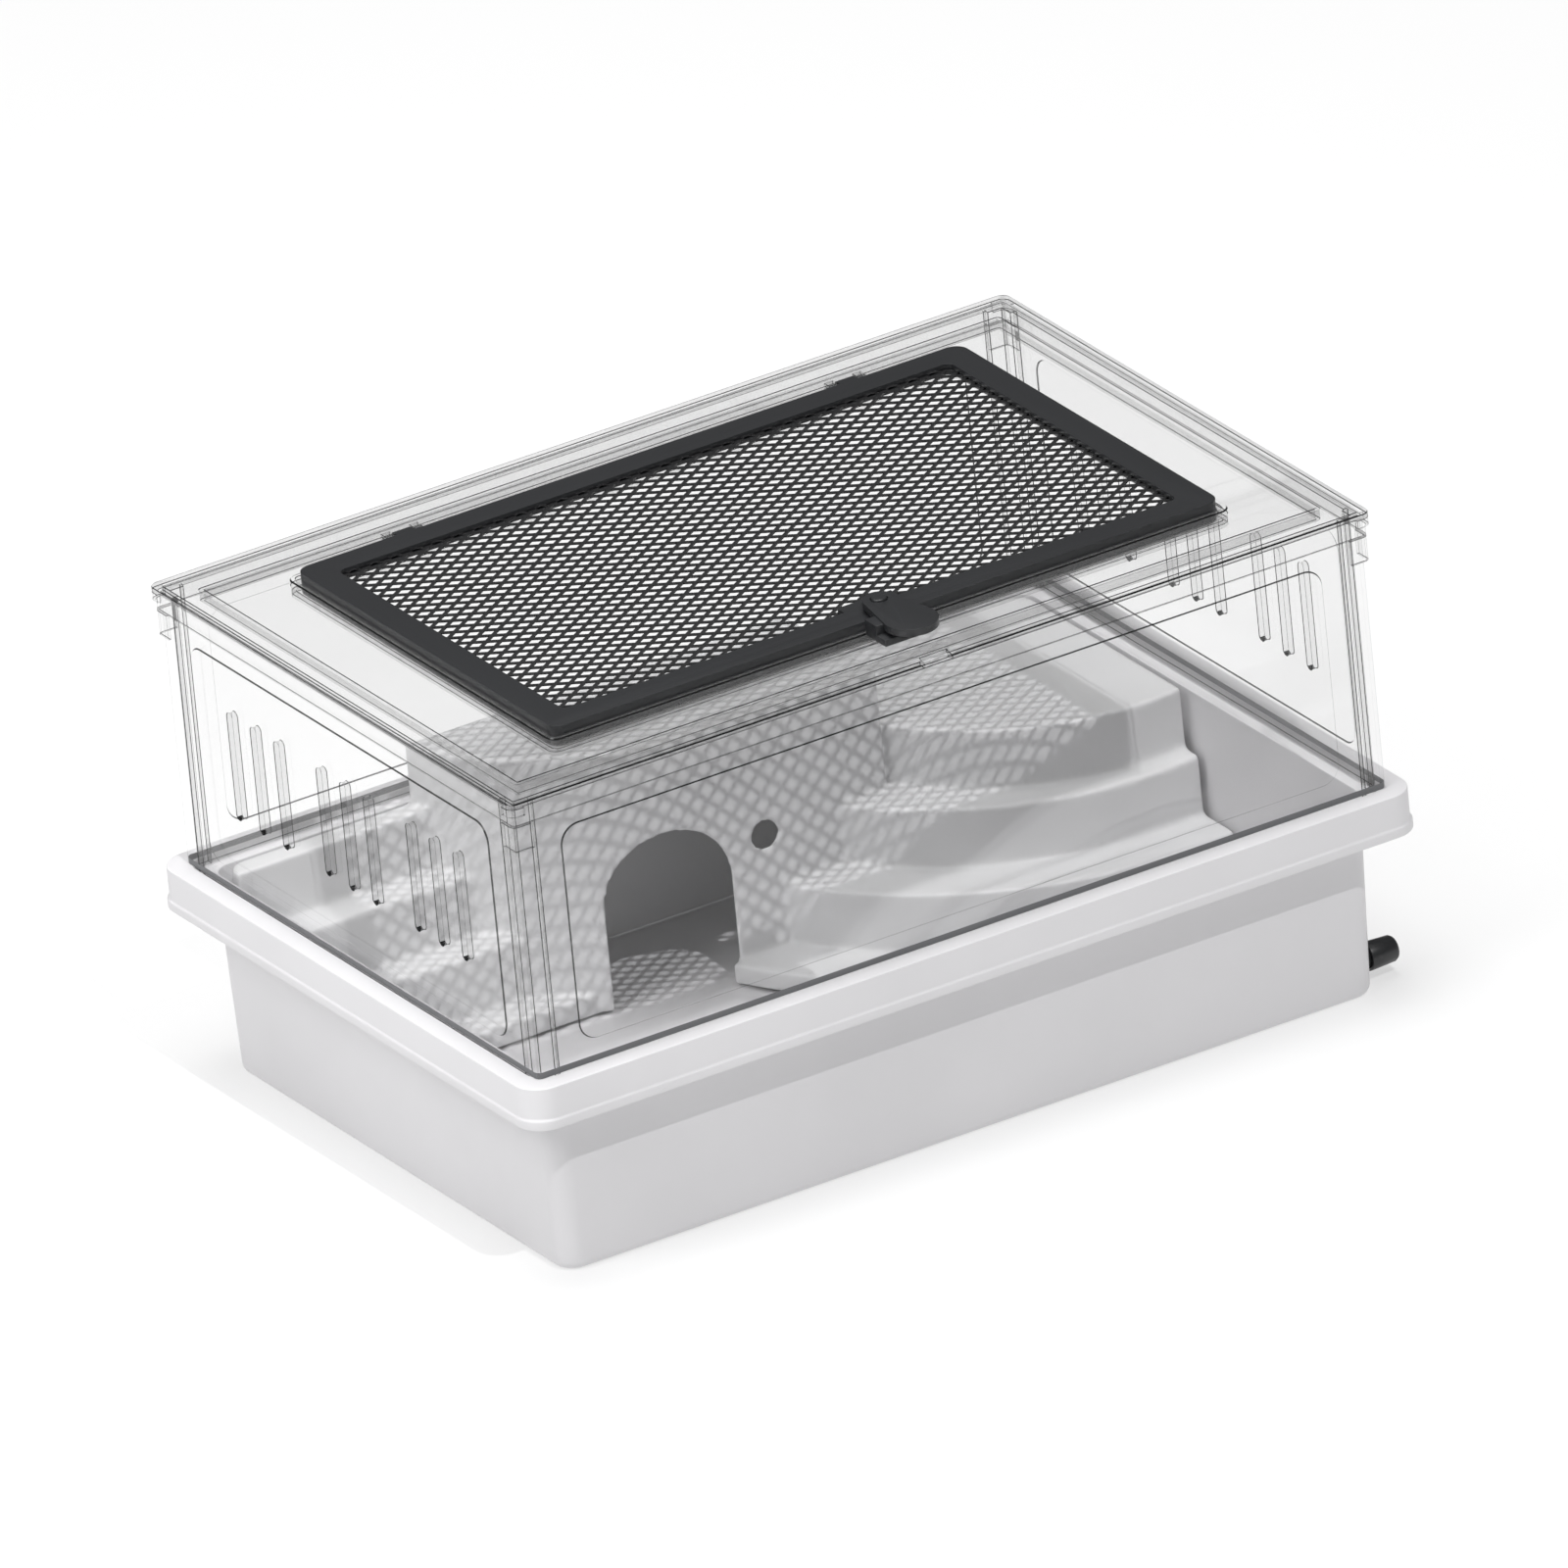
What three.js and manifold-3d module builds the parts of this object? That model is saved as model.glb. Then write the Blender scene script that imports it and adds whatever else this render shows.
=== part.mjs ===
// A hamster cage: a white moulded tub, a clear snap-together enclosure on its rim, a clear lid with a
// hinged black mesh door, and a moulded hide with stairs standing inside.
// Millimetres, +Z up. The origin is on the table under the middle of the tub. The front is -Y.

import * as THREE from 'three';
import { mergeVertices } from 'three/addons/utils/BufferGeometryUtils.js';
import Module from 'manifold-3d';

const wasm = await Module();
wasm.setup();

// ---------------------------------------------------------------------------------------------------
// Driving dimensions
// ---------------------------------------------------------------------------------------------------

const GAP = 0.3; // air left between two pieces that touch
const CUT = 20; // how far a cutting solid runs past what it cuts
const ARC_STEPS = 5; // facets in a small rounded corner
const ROUND_STEPS = 20; // facets round a small shaft
const TREAD_STEPS = 24; // facets along a round tread
const HIDE_STEPS = 14; // facets along the hide's wall and its doorway

const rim = { length: 600, width: 416, top: 131.5, band: 13, lip: 26, skin: 2.5, radius: 8, step: 3 };
const tub = { length: 550, width: 368, flare: 3.5, wall: 3, floor: 3, radius: 14, top: 124.2 };
const tubFoot = { radius: 6, steps: 3 }; // the rounded edge between the tub's walls and its bottom
const ledge = { top: 127.5, under: 124.5 }; // the step inside the rim that the enclosure stands on

const wall = { length: 572.6, width: 389, thickness: 3, bottom: ledge.top + GAP, top: 304.4 };
const post = { leg: 14, thickness: 4.5, radius: 2 };
const emboss = { margin: 30, bottom: 146, top: 281.5, radius: 12, proud: 0.8 };
const slot = { width: 6, length: 68, middle: 217, pitch: 26, groupPitch: 99, groups: 3, perGroup: 3 };

const lid = { length: 581, width: 400, top: 310, edge: 307.5, underside: 304.7, radius: 6 };
const lidFlat = { length: 563, width: 383, radius: 3 }; // the level part of the lid inside its sloped edge
const lidPlate = { thickness: 3, seam: 1 };
const lidRib = { length: 543, width: 352, thickness: 2.5, depth: 7 }; // stands inside the four walls
const skirt = { inset: 2, thickness: 1.6, bottom: 292.5 };
const ear = { leg: 10, thickness: 3.4, bottom: 299 }; // a thicker patch of skirt at each corner
const notch = { middle: -2, width: 18, depth: 6 }; // release notch in the lid's front edge
const clip = { leg: 13, thickness: 1.8, bottom: 276.5, radius: 4 };

const door = { length: 450, width: 286, top: 316, bottom: 303, plate: 3, wall: 3, radius: 9 };
const doorOpening = { length: 414, width: 249, radius: 5 };
const collar = { clearance: 1, wall: 3, top: 310.8, bottom: 303, radius: 4 };
const seat = { overlap: 9, top: door.bottom - GAP, thickness: 2.7 }; // the ring the closed door rests on
const mesh = { length: 428, width: 263, thickness: 1, radius: 6 };
const retainer = { length: 440, width: 276, depth: 2.4, radius: 6 };

const hinge = { y: 147, z: 313.6, spacing: 300, knuckle: 12, barrel: 2.4, pin: 1, side: 0.5 };
const lug = { width: 6, front: 144.3, back: 150.5, bottom: 311.1 };
const latch = { y: -134, rootRadius: 10, endRadius: 16, reach: 35, thickness: 4.5 };
const latchPad = { halfWidth: 18, reach: 8 }; // the frame's patch of wider border under the latch
const latchHub = { radius: 9, bottom: door.top + GAP, top: 318 };
const latchLeg = { left: -20, right: -8, front: -163, back: -150.5 };
const latchToe = { left: -20, right: 2, front: -172, back: -160, bottom: 311.5, height: 4 };
const latchScrew = { headRadius: 5, headHeight: 1.6, edge: 0.6, shank: 2, bore: 2.3, bottom: 313.4 };

const stairs = { riser: 37.5, firstTread: 17.5 };
const insert = { skin: 3, bottom: tub.floor + GAP, halfLength: 271, back: 179, corner: 13 };
const hide = { centreX: -14, centreY: 213, radius: 137, right: 112 };
const doorway = { middle: -34.5, width: 76, top: 109.5 };
const peephole = { x: 28.5, z: 89, radius: 8.5 };
const cutDepth = 35; // how far the doorway and peephole cutters reach behind the hide's front
const leftStair = { firstFront: 163, going: 23 };
const treadTop = (level) => stairs.firstTread + level * stairs.riser;
const roofTop = treadTop(4);
// The round treads from the top one down, each a circle in plan of its own centre and radius.
const roundTreads = [
  { x: 245, y: 148, radius: 146 },
  { x: 235, y: 169, radius: 182 },
  { x: 232, y: 172, radius: 217 },
  { x: 229, y: 175, radius: 252 },
];

const drain = { y: -162, z: 14, shank: 5, skin: 1.5, flange: 8, barrel: 6.5, tip: 294 };
const drainCap = { radius: 8.8, end: 299.7, taper: 2, edge: 0.8, gripGap: 2.5 };
const drainPanel = { reach: 9 }; // the part of the tub's side round the drain, each way from its middle
const drainPart = { flange: 2.5, seal: 1.2, nut: 4, nutInset: 1, tail: 2, tip: 3 };

// ---------------------------------------------------------------------------------------------------
// Materials
// ---------------------------------------------------------------------------------------------------

const finish = (name, color, roughness, metalness = 0, opacity = 1) => new THREE.MeshStandardMaterial({
  name, color, roughness, metalness, opacity, transparent: opacity < 1,
});

const whitePlastic = finish('white_polypropylene', 0xe9e8ea, 0.45);
const greyPlastic = finish('light_grey_polypropylene', 0xbdbcbe, 0.6);
const clearPlastic = finish('clear_polystyrene', 0xf2f5f5, 0.06, 0, 0.25);
const blackPlastic = finish('black_abs', 0x262627, 0.42);
const blackMesh = finish('black_coated_mesh', 0x161617, 0.5, 0.2);
const blackRubber = finish('black_rubber', 0x1c1c1d, 0.8);
const steel = finish('steel', 0x8f9092, 0.35, 1);

// ---------------------------------------------------------------------------------------------------
// Geometry helpers
// ---------------------------------------------------------------------------------------------------

function toSolid(geometry) {
  const bare = geometry.clone();
  bare.deleteAttribute('normal');
  bare.deleteAttribute('uv');
  const merged = mergeVertices(bare);
  return new wasm.Manifold(new wasm.Mesh({
    numProp: 3,
    vertProperties: Float32Array.from(merged.attributes.position.array),
    triVerts: Uint32Array.from(merged.index.array),
  }));
}

function toGeometry(solid) {
  const { vertProperties, triVerts } = solid.getMesh();
  const geometry = new THREE.BufferGeometry();
  geometry.setAttribute('position', new THREE.BufferAttribute(vertProperties, 3));
  geometry.setIndex(new THREE.BufferAttribute(triVerts, 1));
  geometry.computeVertexNormals();
  return geometry;
}

const union = (solids) => solids.reduce((whole, piece) => whole.add(piece));

function roundedRectangle(length, width, radius) {
  const shape = new THREE.Shape();
  const x = length / 2 - radius;
  const y = width / 2 - radius;
  shape.absarc(x, y, radius, 0, Math.PI / 2);
  shape.absarc(-x, y, radius, Math.PI / 2, Math.PI);
  shape.absarc(-x, -y, radius, Math.PI, 1.5 * Math.PI);
  shape.absarc(x, -y, radius, 1.5 * Math.PI, 2 * Math.PI);
  return shape;
}

// A flat shape in plan, standing from one height to another.
function slab(shape, bottom, top, curveSegments = ARC_STEPS) {
  const geometry = new THREE.ExtrudeGeometry(shape, {
    depth: top - bottom, bevelEnabled: false, curveSegments,
  });
  return toSolid(geometry.translate(0, 0, bottom));
}

// A flat shape drawn in elevation (x across, y up), running from one depth to another along Y.
function curtain(shape, front, back, curveSegments = ARC_STEPS) {
  const geometry = new THREE.ExtrudeGeometry(shape, {
    depth: back - front, bevelEnabled: false, curveSegments,
  });
  return toSolid(geometry.rotateX(Math.PI / 2).translate(0, back, 0));
}

function box(x0, x1, y0, y1, z0, z1) {
  const geometry = new THREE.BoxGeometry(x1 - x0, y1 - y0, z1 - z0);
  return toSolid(geometry.translate((x0 + x1) / 2, (y0 + y1) / 2, (z0 + z1) / 2));
}

const frameRing = (outer, inner, bottom, top) => slab(outer, bottom, top)
  .subtract(slab(inner, bottom - CUT, top + CUT));

// A round piece turned about an axis along X, from [x, radius] pairs.
function turnedAlongX(profile, y, z) {
  const points = profile.map(([x, radius]) => new THREE.Vector2(radius, x));
  const geometry = new THREE.LatheGeometry(points, ROUND_STEPS);
  return toSolid(geometry.rotateZ(-Math.PI / 2).translate(0, y, z));
}

// A solid whose outline is a rounded rectangle that changes size and height from ring to ring.
function stackedRings(rings) {
  const outlines = rings.map(({ length, width, radius, z }) => roundedRectangle(length, width, radius)
    .extractPoints(ARC_STEPS).shape.map(({ x, y }) => [x, y, z]));
  const count = outlines[0].length;
  const first = [0, 0, rings[0].z];
  const last = [0, 0, rings.at(-1).z];
  const positions = [first, ...outlines.flat(), last].flat();
  const indices = [];
  const at = (ring, step) => 1 + ring * count + (step % count);
  for (let step = 0; step < count; step += 1) {
    indices.push(0, at(0, step + 1), at(0, step));
    indices.push(1 + rings.length * count, at(rings.length - 1, step), at(rings.length - 1, step + 1));
    for (let ring = 0; ring + 1 < rings.length; ring += 1) {
      indices.push(at(ring, step), at(ring, step + 1), at(ring + 1, step + 1));
      indices.push(at(ring, step), at(ring + 1, step + 1), at(ring + 1, step));
    }
  }
  const geometry = new THREE.BufferGeometry();
  geometry.setAttribute('position', new THREE.Float32BufferAttribute(positions, 3));
  geometry.setIndex(indices);
  return toSolid(geometry);
}

// ---------------------------------------------------------------------------------------------------
// The tub: a flared body, and round its top a ledge for the enclosure and a turned-down rim
// ---------------------------------------------------------------------------------------------------

function tubRings() {
  const body = (inset, z, radius, flare = 0) => ({
    length: tub.length + 2 * (flare - inset), width: tub.width + 2 * (flare - inset), radius, z,
  });
  const foot = [];
  for (let step = 0; step < tubFoot.steps; step += 1) {
    const angle = (step / tubFoot.steps) * (Math.PI / 2);
    const inset = tubFoot.radius * (1 - Math.sin(angle));
    foot.push(body(inset, tubFoot.radius * (1 - Math.cos(angle)), tub.radius - inset));
  }
  return [
    ...foot,
    body(0, tubFoot.radius, tub.radius),
    body(0, tub.top, tub.radius, tub.flare),
    body(tub.wall, tub.top, tub.radius - tub.wall, tub.flare),
    body(tub.wall, tub.floor, tub.radius - tub.wall),
  ];
}

function tubSolid() {
  const boss = drain.shank + 2 * GAP;
  const from = tub.length / 2 - CUT;
  const hole = [[from, 0], [from, boss], [drain.tip, boss], [drain.tip, 0]];
  return stackedRings(tubRings()).subtract(turnedAlongX(hole, drain.y, drain.z));
}

// The tub is one moulding, taken as simple solids: its floor, which lies inside its four sides, the
// sides, which meet in the middle of each rounded corner, and the panel that the drain passes through.
function tubPieces() {
  const whole = tubSolid();
  const top = tub.top + CUT;
  const far = rim.length;
  const across = (tub.length - tub.width) / 2;
  const along = across - GAP * Math.SQRT2;
  const outlines = {
    front: [[-along - far, -far], [along + far, -far], [along, 0], [-along, 0]],
    right: [[across, 0], [across + far, -far], [across + far, far]],
    back: [[along + far, far], [-along - far, far], [-along, 0], [along, 0]],
    left: [[-across, 0], [-across - far, far], [-across - far, -far]],
  };
  const window = (margin) => {
    const reach = drainPanel.reach + margin;
    return box(across, far, drain.y - reach, drain.y + reach, drain.z - reach, drain.z + reach);
  };
  const inside = (inset) => slab(
    roundedRectangle(tub.length - 2 * inset, tub.width - 2 * inset, tub.radius - inset), -CUT, top,
  );
  const pieces = { floor: whole.intersect(inside(tub.wall + GAP)) };
  const ring = whole.subtract(inside(tub.wall));
  for (const [side, points] of Object.entries(outlines)) {
    const outline = new THREE.Shape(points.map(([x, y]) => new THREE.Vector2(x, y)));
    pieces[`${side}_side`] = ring.intersect(slab(outline, -CUT, top)).subtract(window(GAP));
  }
  pieces.drain_panel = ring.intersect(window(0));
  return pieces;
}

// The rim is a ring of one section: ledge, step, band and lip. Its outside is made first.
function rimSolid() {
  const edge = (inset, z, radius) => ({
    length: rim.length - 2 * inset, width: rim.width - 2 * inset, radius, z,
  });
  const ledgeInset = (rim.length - tub.length) / 2 - tub.flare + tub.wall;
  const ledgeRadius = tub.radius - tub.wall;
  const stepInset = rim.band - rim.skin;
  const lipBottom = rim.top - rim.lip;
  const outside = stackedRings([
    edge(0, lipBottom, rim.radius),
    edge(0, rim.top, rim.radius),
  ]);
  const groove = stackedRings([
    edge(rim.skin, lipBottom - CUT, rim.radius - rim.skin),
    edge(rim.skin, rim.top - rim.skin, rim.radius - rim.skin),
  ]);
  const step = stackedRings([
    edge(stepInset, ledge.under, rim.step + rim.skin),
    edge(stepInset, rim.top, rim.step + rim.skin),
  ]);
  const well = stackedRings([
    edge(rim.band, ledge.top, rim.step),
    edge(rim.band, rim.top + CUT, rim.step),
  ]);
  const mouth = slab(
    roundedRectangle(rim.length - 2 * ledgeInset, rim.width - 2 * ledgeInset, ledgeRadius), 0, rim.top + CUT,
  );
  return outside.subtract(groove).add(step).subtract(well).subtract(mouth);
}

// ---------------------------------------------------------------------------------------------------
// The drain: a barbed outlet through the tub wall, its seal and nut, and a pull-off cap
// ---------------------------------------------------------------------------------------------------

const wallOutside = tub.length / 2 + tub.flare * (drain.z / tub.top);
const wallInside = wallOutside - tub.wall;
const clearOfTaper = 0.4; // the tub wall leans by this much over the height of the flange

function drainPieces() {
  const { shank, skin, flange, barrel, tip } = drain;
  const flangeStart = wallOutside + clearOfTaper;
  const flangeEnd = flangeStart + drainPart.flange;
  const sealEnd = wallInside - clearOfTaper;
  const sealStart = sealEnd - drainPart.seal;
  const nutEnd = sealStart - GAP;
  const nutStart = nutEnd - drainPart.nut;
  const tail = nutStart - drainPart.tail;
  const bore = shank - skin;
  const outlet = [
    [tail, bore], [tail, shank], [flangeStart, shank], [flangeStart, flange], [flangeEnd, flange],
    [flangeEnd, barrel], [tip - drainPart.tip, barrel], [tip, barrel - skin], [tip, bore], [tail, bore],
  ];
  const washer = (start, end, radius) => [
    [start, shank + GAP], [start, radius], [end, radius], [end, shank + GAP], [start, shank + GAP],
  ];
  const capStart = flangeEnd + drainCap.gripGap;
  const capHollow = barrel + GAP;
  const cap = [
    [tip + GAP, 0], [tip + GAP, capHollow], [capStart, capHollow], [capStart, drainCap.radius],
    [drainCap.end - drainCap.taper, drainCap.radius - drainCap.edge],
    [drainCap.end, drainCap.radius - drainCap.taper], [drainCap.end, 0],
  ];
  const turned = (profile) => turnedAlongX(profile, drain.y, drain.z);
  return {
    outlet: turned(outlet),
    seal: turned(washer(sealStart, sealEnd, flange)),
    nut: turned(washer(nutStart, nutEnd, flange - drainPart.nutInset)),
    cap: turned(cap),
  };
}

// ---------------------------------------------------------------------------------------------------
// The moulded hide: a rounded chamber, with straight stairs on its left and round stairs on its right
// ---------------------------------------------------------------------------------------------------

const hideFront = hide.centreY - hide.radius;

function hideOutline(inset) {
  const radius = hide.radius - inset;
  const back = insert.back - inset;
  const start = Math.PI - Math.asin((back - hide.centreY) / radius);
  const shape = new THREE.Shape();
  shape.moveTo(hide.right - inset, back);
  shape.lineTo(hide.centreX + radius * Math.cos(start), back);
  shape.absarc(hide.centreX, hide.centreY, radius, start, 1.5 * Math.PI);
  shape.lineTo(hide.right - inset, hide.centreY - radius);
  return shape;
}

// A straight tread, from its front edge back to the wall; it runs in under the hide's round wall.
function leftTread(step, inset) {
  const front = leftStair.firstFront - step * leftStair.going + inset;
  const left = -insert.halfLength + inset;
  const back = insert.back - inset;
  const shape = new THREE.Shape();
  shape.moveTo(left, front);
  shape.lineTo(hide.centreX, front);
  shape.lineTo(hide.centreX, back);
  shape.lineTo(left, back);
  return shape;
}

function rightTread(step, inset) {
  const { x, y, radius: full } = roundTreads[step];
  const radius = full - inset;
  const right = insert.halfLength - inset;
  const back = insert.back - inset;
  const from = Math.PI - Math.asin((back - y) / radius);
  const to = 1.5 * Math.PI + Math.asin((right - x) / radius);
  const shape = new THREE.Shape();
  shape.moveTo(right, back);
  shape.lineTo(x + radius * Math.cos(from), back);
  shape.absarc(x, y, radius, from, to);
  return shape;
}

const treadSteps = [0, 1, 2, 3];
const stepTop = (step) => treadTop(treadSteps.length - 1 - step);

const footprint = (inset, bottom) => slab(roundedRectangle(
  2 * (insert.halfLength - inset), 2 * (insert.back - inset), insert.corner - inset,
), bottom, roofTop);

// A flight of four treads as one block, cut clear of the hide that it leans against.
function flight(tread, inset, bottom) {
  const blocks = treadSteps.map((step) => slab(tread(step, inset), bottom, stepTop(step) - inset, TREAD_STEPS));
  const hideBlock = slab(hideOutline(-GAP - inset), bottom - CUT, roofTop + CUT, HIDE_STEPS);
  return union(blocks).intersect(footprint(inset, bottom)).subtract(hideBlock);
}

const flightSolid = (tread) => flight(tread, 0, insert.bottom).subtract(flight(tread, insert.skin, -CUT));

function archShape({ middle, width, top }) {
  const radius = width / 2;
  const shape = new THREE.Shape();
  shape.moveTo(middle - radius, -CUT);
  shape.lineTo(middle + radius, -CUT);
  shape.absarc(middle, top - radius, radius, 0, Math.PI);
  return shape;
}

function hideSolid() {
  const front = hideFront - CUT;
  const hole = new THREE.Shape().absarc(peephole.x, peephole.z, peephole.radius, 0, 2 * Math.PI);
  return slab(hideOutline(0), insert.bottom, roofTop, HIDE_STEPS)
    .subtract(slab(hideOutline(insert.skin), -CUT, roofTop - insert.skin, HIDE_STEPS))
    .subtract(curtain(archShape(doorway), front, hideFront + cutDepth, HIDE_STEPS))
    .subtract(curtain(hole, front, hideFront + cutDepth, HIDE_STEPS));
}

// ---------------------------------------------------------------------------------------------------
// The enclosure: four clear walls, four corner posts
// ---------------------------------------------------------------------------------------------------

// A wall drawn in elevation, its outer face at y = 0 and facing -Y.
function wallPanel(span, slotted) {
  const half = span / 2 - post.leg - GAP;
  const plate = box(-half, half, 0, wall.thickness, wall.bottom, wall.top);
  const field = roundedRectangle(span - 2 * emboss.margin, emboss.top - emboss.bottom, emboss.radius);
  const raised = curtain(field, -emboss.proud, wall.thickness / 2);
  const panel = plate.add(raised.translate([0, 0, (emboss.top + emboss.bottom) / 2]));
  return slotted ? panel.subtract(union(ventSlots())) : panel;
}

function ventSlots() {
  const shape = roundedRectangle(slot.width, slot.length, slot.width / 2 - 0.01);
  const cutter = curtain(shape, -CUT, CUT, 3).translate([0, 0, slot.middle]);
  const middle = (count) => (count - 1) / 2;
  const slots = [];
  for (let group = 0; group < slot.groups; group += 1) {
    for (let index = 0; index < slot.perGroup; index += 1) {
      const x = (group - middle(slot.groups)) * slot.groupPitch
        + (index - middle(slot.perGroup)) * slot.pitch;
      slots.push(cutter.translate([x, 0, 0]));
    }
  }
  return slots;
}

// An L-shaped piece in plan whose outer corner is the front left one, at the origin.
function cornerShape(leg, thickness, radius) {
  const shape = new THREE.Shape();
  shape.moveTo(leg, 0);
  shape.lineTo(leg, thickness);
  shape.lineTo(thickness, thickness);
  shape.lineTo(thickness, leg);
  shape.lineTo(0, leg);
  shape.absarc(radius, radius, radius, Math.PI, 1.5 * Math.PI);
  return shape;
}

// The four corners, with the quarter turn that takes an L-shaped piece from the front left one to each.
const corners = [
  { name: 'front_left', x: -1, y: -1, turn: 0 },
  { name: 'front_right', x: 1, y: -1, turn: Math.PI / 2 },
  { name: 'back_right', x: 1, y: 1, turn: Math.PI },
  { name: 'back_left', x: -1, y: 1, turn: -Math.PI / 2 },
];

// ---------------------------------------------------------------------------------------------------
// The lid: a clear plate with a skirt, a locating rib, and a collar and seat round the door opening
// ---------------------------------------------------------------------------------------------------

const lidOutline = (inset) => roundedRectangle(
  lid.length - 2 * inset, lid.width - 2 * inset, Math.max(lid.radius - inset, 1),
);
const doorHole = (grow, radius) => roundedRectangle(door.length + 2 * grow, door.width + 2 * grow, radius);

function lidSolid() {
  const { length, width, radius } = lid;
  const flatUnder = lid.top - lidPlate.thickness;
  const plate = stackedRings([
    { length, width, radius, z: lid.underside },
    { length, width, radius, z: lid.edge },
    { ...lidFlat, z: lid.top },
  ]).subtract(slab(lidOutline(lid.radius), 0, flatUnder));
  const ribHole = roundedRectangle(
    lidRib.length - 2 * lidRib.thickness, lidRib.width - 2 * lidRib.thickness, 1,
  );
  const rib = frameRing(
    roundedRectangle(lidRib.length, lidRib.width, lidFlat.radius), ribHole,
    flatUnder - lidRib.depth, flatUnder + lidPlate.seam,
  );
  const collarWall = slab(
    doorHole(collar.clearance + collar.wall, collar.radius + collar.wall), collar.bottom, collar.top,
  );
  const well = slab(doorHole(collar.clearance, collar.radius), 0, door.top + CUT);
  const notchCut = box(
    notch.middle - notch.width / 2, notch.middle + notch.width / 2,
    -lid.width / 2 - 1, -lid.width / 2 + notch.depth, lid.underside - 1, lid.top + 1,
  );
  return union([plate, rib, collarWall]).subtract(well).subtract(notchCut);
}

function skirtSolid() {
  const top = lid.underside - GAP;
  const outline = lidOutline(skirt.inset);
  const band = frameRing(outline, lidOutline(skirt.inset + skirt.thickness), skirt.bottom, top);
  const patch = slab(cornerShape(ear.leg, ear.thickness, lid.radius), ear.bottom, top);
  const patches = corners.map(({ x, y, turn }) => patch
    .rotate([0, 0, THREE.MathUtils.radToDeg(turn)])
    .translate([x * lid.length / 2, y * lid.width / 2, 0]));
  return union([band, ...patches]);
}

const seatSolid = () => frameRing(
  doorHole(collar.clearance + collar.wall, collar.radius + collar.wall),
  doorHole(-seat.overlap, collar.radius), seat.top - seat.thickness, seat.top,
);

const hingeMiddles = { left: -hinge.spacing / 2, right: hinge.spacing / 2 };
const lugOffset = hinge.knuckle / 2 + hinge.side + lug.width / 2;

function lugSolid(x) {
  const block = box(x - lug.width / 2, x + lug.width / 2, lug.front, lug.back, lug.bottom, door.top);
  return block.subtract(hingeRod(x, hinge.pin + GAP, 2 * lug.width));
}

function hingeRod(x, radius, length) {
  const half = length / 2;
  return turnedAlongX([[x - half, 0], [x - half, radius], [x + half, radius], [x + half, 0]], hinge.y, hinge.z);
}

// ---------------------------------------------------------------------------------------------------
// The door: a black frame with its mesh, the ring that holds the mesh in, and the turning latch
// ---------------------------------------------------------------------------------------------------

function doorFrameSolid() {
  const outline = (inset) => roundedRectangle(
    door.length - 2 * inset, door.width - 2 * inset, door.radius - inset,
  );
  const opening = roundedRectangle(doorOpening.length, doorOpening.width, doorOpening.radius);
  const plate = slab(outline(0), door.top - door.plate, door.top);
  const side = frameRing(outline(0), outline(door.wall), door.bottom, door.top - door.plate / 2);
  const padFront = -doorOpening.width / 2 - door.wall;
  const padBack = -doorOpening.width / 2 + latchPad.reach;
  const { halfWidth } = latchPad;
  const pad = box(-halfWidth, halfWidth, padFront, padBack, door.top - door.plate, door.top);
  const knuckles = Object.values(hingeMiddles).flatMap((x) => [
    hingeRod(x, hinge.barrel, hinge.knuckle),
    box(
      x - hinge.knuckle / 2, x + hinge.knuckle / 2, door.width / 2 - door.wall / 2, hinge.y,
      hinge.z - hinge.barrel, hinge.z + hinge.barrel,
    ),
  ]);
  const bores = Object.values(hingeMiddles).map((x) => hingeRod(x, hinge.pin + GAP, 2 * hinge.knuckle));
  const screwBore = new THREE.Shape().absarc(0, latch.y, latchScrew.shank + GAP, 0, 2 * Math.PI);
  return union([plate.subtract(slab(opening, 0, door.top + CUT)), side, pad, ...knuckles])
    .subtract(union(bores))
    .subtract(slab(screwBore, 0, door.top + CUT, ROUND_STEPS / 2));
}

const meshTop = door.top - door.plate - GAP;

const meshSolid = () => slab(
  roundedRectangle(mesh.length, mesh.width, mesh.radius), meshTop - mesh.thickness, meshTop,
);

function retainerSolid() {
  const top = meshTop - mesh.thickness - GAP;
  return frameRing(
    roundedRectangle(retainer.length, retainer.width, retainer.radius),
    roundedRectangle(doorOpening.length, doorOpening.width, doorOpening.radius),
    top - retainer.depth, top,
  );
}

// A teardrop paddle that turns about the origin, with a hooked leg under its left side.
function leverSolid() {
  const { rootRadius, endRadius, reach, thickness } = latch;
  const paddleBottom = latchHub.top;
  const top = paddleBottom + thickness;
  const overlap = thickness / 4; // how far the hub and leg run up into the paddle
  const lean = Math.asin((endRadius - rootRadius) / reach);
  const outline = new THREE.Shape();
  outline.absarc(0, 0, rootRadius, lean, Math.PI - lean);
  outline.absarc(0, -reach, endRadius, Math.PI - lean, 2 * Math.PI + lean);
  const disc = (radius) => new THREE.Shape().absarc(0, 0, radius, 0, 2 * Math.PI);
  const block = ({ left, right, front, back }, bottom, blockTop) => box(
    left, right, front - latch.y, back - latch.y, bottom, blockTop,
  );
  return union([
    slab(outline, paddleBottom, top, ROUND_STEPS / 2),
    slab(disc(latchHub.radius), latchHub.bottom, paddleBottom + overlap, ROUND_STEPS),
    block(latchLeg, latchToe.bottom, paddleBottom + overlap),
    block(latchToe, latchToe.bottom, latchToe.bottom + latchToe.height),
    block({ ...latchLeg, right: 0 }, paddleBottom, top - overlap),
  ])
    .subtract(slab(disc(latchScrew.bore), 0, top + CUT, ROUND_STEPS))
    .subtract(slab(disc(latchScrew.headRadius + GAP), top - latchScrew.headHeight / 2, top + CUT, ROUND_STEPS));
}

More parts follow.
